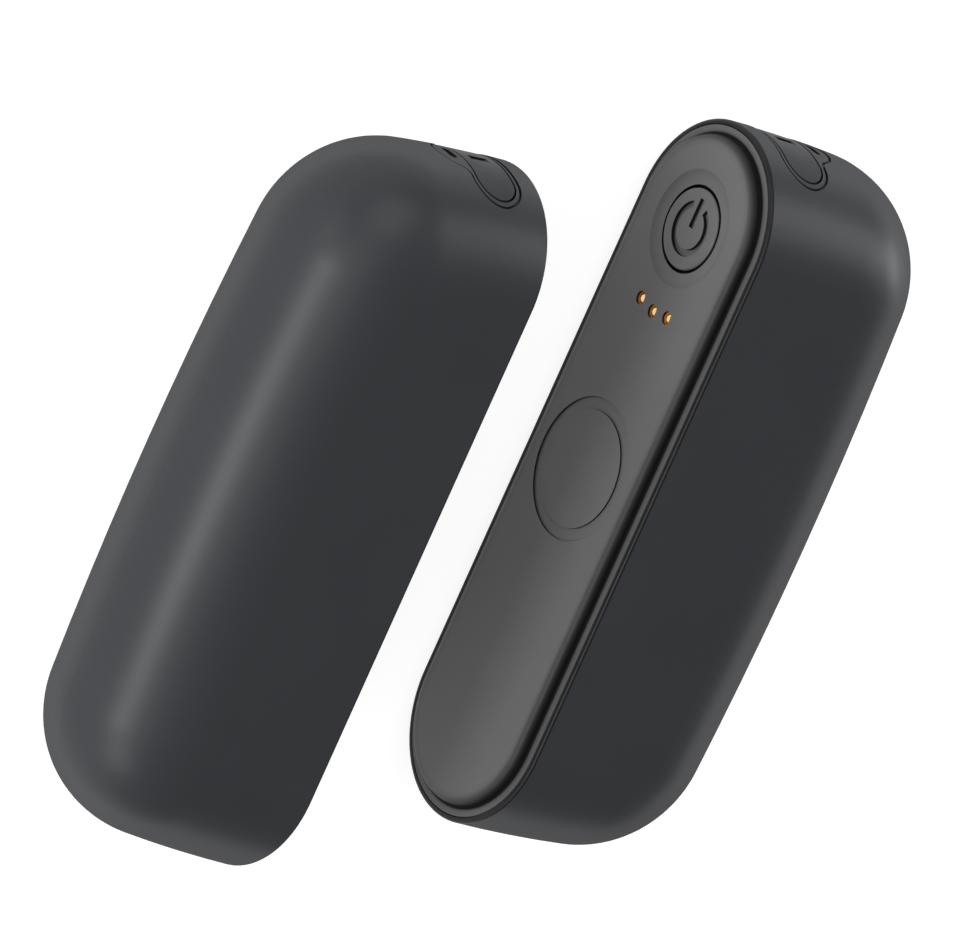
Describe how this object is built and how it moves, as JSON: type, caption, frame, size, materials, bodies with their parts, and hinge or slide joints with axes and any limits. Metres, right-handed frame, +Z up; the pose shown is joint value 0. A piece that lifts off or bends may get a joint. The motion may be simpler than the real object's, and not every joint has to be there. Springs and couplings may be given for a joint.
{
  "type": "split hand warmer",
  "caption": "Split pocket hand warmer: two rounded pods that dock face to face by magnets, with power buttons, sprung contacts, covered charging ports and lanyard slits.",
  "frame": {"origin": "centre of the whole box over both pods, on the surface that they lie on", "axes": "+X along the pods towards their port ends, +Y from the base pod to the mate pod, +Z up from the surface, across the pods' thickness"},
  "size_m": [0.113, 0.0988, 0.029],
  "materials": {
    "shell_plastic": "satin moulded plastic, dark blue-grey",
    "plate_plastic": "satin moulded plastic, neutral grey",
    "button_plastic": "satin moulded plastic, neutral grey",
    "plug_rubber": "matte soft rubber, dark grey",
    "contact_gold": "gold plated",
    "dark_plastic": "black moulded plastic",
    "board_laminate": "green board laminate",
    "cradle_plastic": "natural moulded plastic",
    "cell_wrap": "steel can in a plain blue sleeve",
    "film_polyimide": "amber film",
    "screw_steel": "plain steel",
    "port_steel": "drawn stainless steel",
    "spring_steel": "spring wire",
    "tab_nickel": "nickel strip",
    "magnet_nickel": "nickel plated"
  },
  "bodies": {
    "base_pod": {"base_board": "board_laminate", "base_board_screws": "screw_steel", "base_cell": "cell_wrap", "base_cell_tabs": "tab_nickel", "base_contact_block": "dark_plastic", "base_contact_pads": "contact_gold", "base_cradle": "cradle_plastic", "base_face_plate": "plate_plastic", "base_heater_bottom": "film_polyimide", "base_heater_top": "film_polyimide", "base_lanyard_pin": "screw_steel", "base_magnet": "magnet_nickel", "base_magnet_back": "screw_steel", "base_shell": "shell_plastic", "base_switch_body": "dark_plastic", "base_thermistor": "dark_plastic", "base_usb_shell": "port_steel", "base_usb_tongue": "dark_plastic"},
    "mate_pod": {"mate_board": "board_laminate", "mate_board_screws": "screw_steel", "mate_cell": "cell_wrap", "mate_cell_tabs": "tab_nickel", "mate_cradle": "cradle_plastic", "mate_face_plate": "plate_plastic", "mate_heater_bottom": "film_polyimide", "mate_heater_top": "film_polyimide", "mate_lanyard_pin": "screw_steel", "mate_magnet": "magnet_nickel", "mate_magnet_back": "screw_steel", "mate_pogo_barrels": "contact_gold", "mate_pogo_block": "dark_plastic", "mate_pogo_spring_1": "spring_steel", "mate_pogo_spring_2": "spring_steel", "mate_pogo_spring_3": "spring_steel", "mate_shell": "shell_plastic", "mate_switch_body": "dark_plastic", "mate_thermistor": "dark_plastic", "mate_usb_shell": "port_steel", "mate_usb_tongue": "dark_plastic"},
    "base_button": {"base_button": "button_plastic", "base_switch_plunger": "dark_plastic"},
    "base_port_plug": {"base_port_plug": "plug_rubber"},
    "mate_button": {"mate_button": "button_plastic", "mate_switch_plunger": "dark_plastic"},
    "mate_port_plug": {"mate_port_plug": "plug_rubber"},
    "mate_pin_1": {"mate_pogo_plunger_1": "contact_gold"},
    "mate_pin_2": {"mate_pogo_plunger_2": "contact_gold"},
    "mate_pin_3": {"mate_pogo_plunger_3": "contact_gold"}
  },
  "joints": [
    {"name": "dock", "type": "slide", "parent": "base_pod", "child": "mate_pod", "axis": [0.3914, -0.9202, 0], "range_m": [0, 0.03347]},
    {"name": "base_button_press", "type": "slide", "parent": "base_pod", "child": "base_button", "axis": [0, -1, 0], "range_m": [0, 0.0004], "stiffness_N_per_m": 2000, "springref_m": -0.0003},
    {"name": "mate_button_press", "type": "slide", "parent": "mate_pod", "child": "mate_button", "axis": [0, 1, 0], "range_m": [0, 0.0004], "stiffness_N_per_m": 2000, "springref_m": -0.0003},
    {"name": "base_plug_pull", "type": "slide", "parent": "base_pod", "child": "base_port_plug", "axis": [1, 0, 0], "range_m": [0, 0.006]},
    {"name": "mate_plug_pull", "type": "slide", "parent": "mate_pod", "child": "mate_port_plug", "axis": [1, 0, 0], "range_m": [0, 0.006]},
    {"name": "pin_1_press", "type": "slide", "parent": "mate_pod", "child": "mate_pin_1", "axis": [0, 1, 0], "range_m": [0, 0.0005], "stiffness_N_per_m": 1000, "springref_m": -0.0003, "deforming": ["mate_pogo_spring_1"]},
    {"name": "pin_2_press", "type": "slide", "parent": "mate_pod", "child": "mate_pin_2", "axis": [0, 1, 0], "range_m": [0, 0.0005], "stiffness_N_per_m": 1000, "springref_m": -0.0003, "deforming": ["mate_pogo_spring_2"]},
    {"name": "pin_3_press", "type": "slide", "parent": "mate_pod", "child": "mate_pin_3", "axis": [0, 1, 0], "range_m": [0, 0.0005], "stiffness_N_per_m": 1000, "springref_m": -0.0003, "deforming": ["mate_pogo_spring_3"]}
  ]
}
